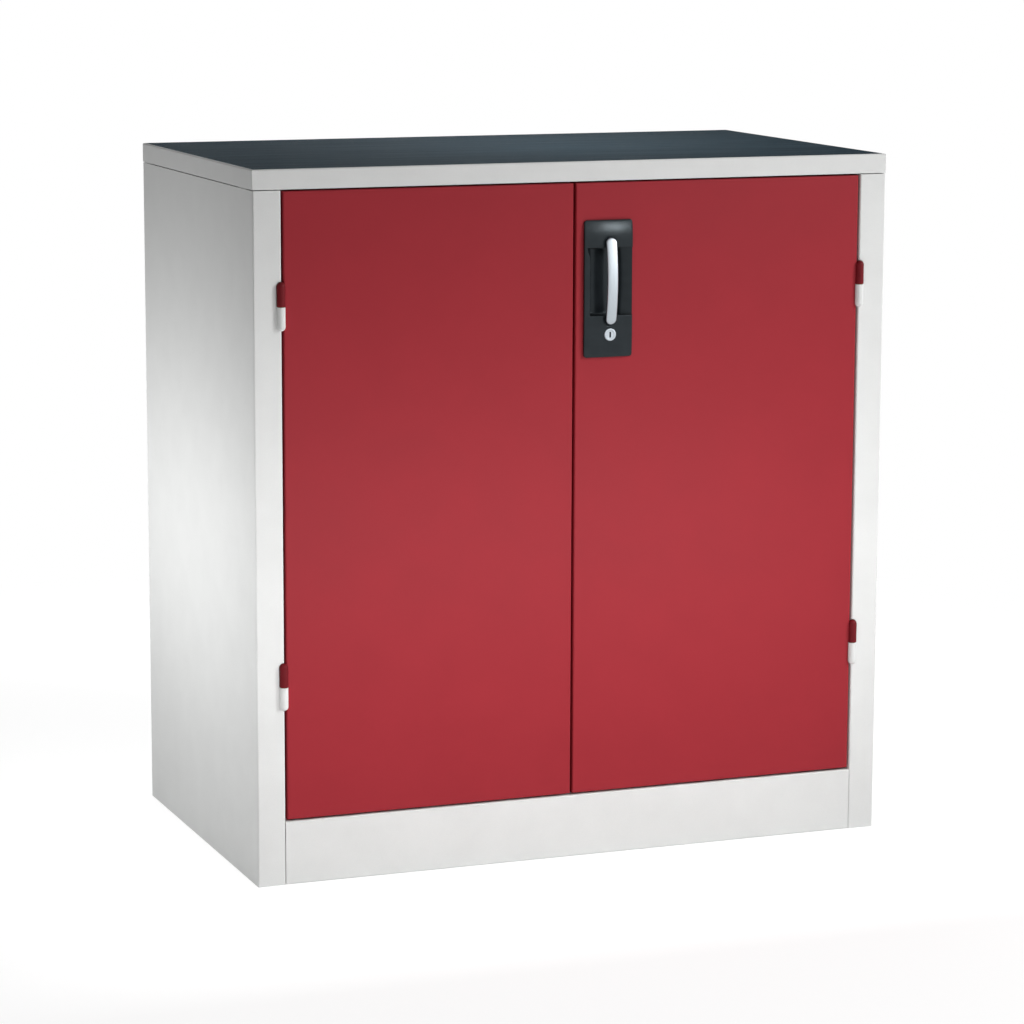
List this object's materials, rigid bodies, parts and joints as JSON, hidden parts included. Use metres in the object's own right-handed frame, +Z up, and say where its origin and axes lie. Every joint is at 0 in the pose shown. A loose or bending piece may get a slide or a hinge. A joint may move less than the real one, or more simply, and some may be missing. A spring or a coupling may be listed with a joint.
{
  "type": "heavy-duty storage cabinet",
  "caption": "Low steel storage cabinet with red hinged doors, a recessed lever lock with sliding rods, adjustable shelves and a rubber-topped cover plate.",
  "frame": {"origin": "on the floor under the middle of the whole object", "axes": "+Z up, the doors face -Y, +X to the right as seen from the front"},
  "size_m": [0.95, 0.5676, 0.995],
  "materials": {
    "body_paint": "light grey powder coat, fine texture",
    "shelf_paint": "light grey powder coat",
    "door_paint": "red powder coat, satin",
    "hinge_paint": "dark red paint, satin",
    "rubber": "ribbed, matt",
    "handle_plastic": "moulded, fine grain",
    "bright_metal": "satin nickel plate",
    "zinc_steel": "zinc plate",
    "washer_brass": "turned"
  },
  "bodies": {
    "carcass": {"left_side_panel": "body_paint", "right_side_panel": "body_paint", "rear_panel": "body_paint", "base_panel": "body_paint", "plinth_front": "body_paint", "front_top_rail": "body_paint", "rear_top_rail": "body_paint", "cover_plate": "body_paint", "cover_plate_bolts": "zinc_steel", "cover_plate_nuts": "zinc_steel", "rubber_mat": "rubber", "front_left_upright": "shelf_paint", "front_right_upright": "shelf_paint", "rear_left_upright": "shelf_paint", "rear_right_upright": "shelf_paint", "lower_shelf": "shelf_paint", "upper_shelf": "shelf_paint", "lower_shelf_clips": "zinc_steel", "upper_shelf_clips": "zinc_steel", "door_buffers": "rubber", "left_frame_knuckles": "body_paint", "right_frame_knuckles": "body_paint", "left_hinge_pins": "bright_metal", "right_hinge_pins": "bright_metal", "left_hinge_washers": "washer_brass", "right_hinge_washers": "washer_brass"},
    "left_door": {"left_door_pan": "door_paint", "left_door_stiffener": "door_paint", "left_door_knuckles": "hinge_paint", "upper_bolt_bracket": "zinc_steel", "lower_bolt_bracket": "zinc_steel"},
    "right_door": {"right_door_pan": "door_paint", "right_door_stiffener": "door_paint", "right_door_knuckles": "hinge_paint", "handle_plate": "handle_plastic", "handle_plate_screws": "zinc_steel", "lock_case": "zinc_steel", "lock_case_rivets": "zinc_steel", "rod_guides": "zinc_steel", "lock_barrel": "bright_metal", "lock_barrel_nut": "zinc_steel"},
    "lever": {"lever": "bright_metal", "lever_spindle": "zinc_steel", "drive_pinion": "zinc_steel", "retaining_ring": "bright_metal"},
    "lock_plug": {"lock_plug": "bright_metal", "lock_cam": "zinc_steel"},
    "upper_rod": {"upper_rod": "zinc_steel"},
    "lower_rod": {"lower_rod": "zinc_steel"},
    "upper_bolt": {"upper_slide_bolt": "bright_metal"},
    "lower_bolt": {"lower_slide_bolt": "bright_metal"}
  },
  "joints": [
    {"name": "left_door_swing", "type": "hinge", "parent": "carcass", "child": "left_door", "pos_m": [-0.436, -0.2667, 0], "axis": [0, 0, -1], "range_deg": [0, 180]},
    {"name": "right_door_swing", "type": "hinge", "parent": "carcass", "child": "right_door", "pos_m": [0.436, -0.2667, 0], "axis": [0, 0, 1], "range_deg": [0, 180]},
    {"name": "lever_turn", "type": "hinge", "parent": "right_door", "child": "lever", "pos_m": [0.04495, -0.2662, 0.8805], "axis": [0, -1, 0], "range_deg": [0, 90]},
    {"name": "lock_plug_turn", "type": "hinge", "parent": "right_door", "child": "lock_plug", "pos_m": [0.04495, -0.2662, 0.752], "axis": [0, 1, 0], "range_deg": [0, 90]},
    {"name": "upper_rod_slide", "type": "slide", "parent": "right_door", "child": "upper_rod", "axis": [0, 0, 1], "range_m": [0, 0.02126]},
    {"name": "lower_rod_slide", "type": "slide", "parent": "right_door", "child": "lower_rod", "axis": [0, 0, -1], "range_m": [0, 0.02126]},
    {"name": "upper_bolt_slide", "type": "slide", "parent": "left_door", "child": "upper_bolt", "axis": [0, 0, 1], "range_m": [0, 0.018]},
    {"name": "lower_bolt_slide", "type": "slide", "parent": "left_door", "child": "lower_bolt", "axis": [0, 0, -1], "range_m": [0, 0.018]}
  ],
  "couplings": [
    {"joint": "upper_rod_slide", "follows": "lever_turn", "m_per_rad": 0.0135},
    {"joint": "lower_rod_slide", "follows": "lever_turn", "m_per_rad": 0.0135}
  ]
}
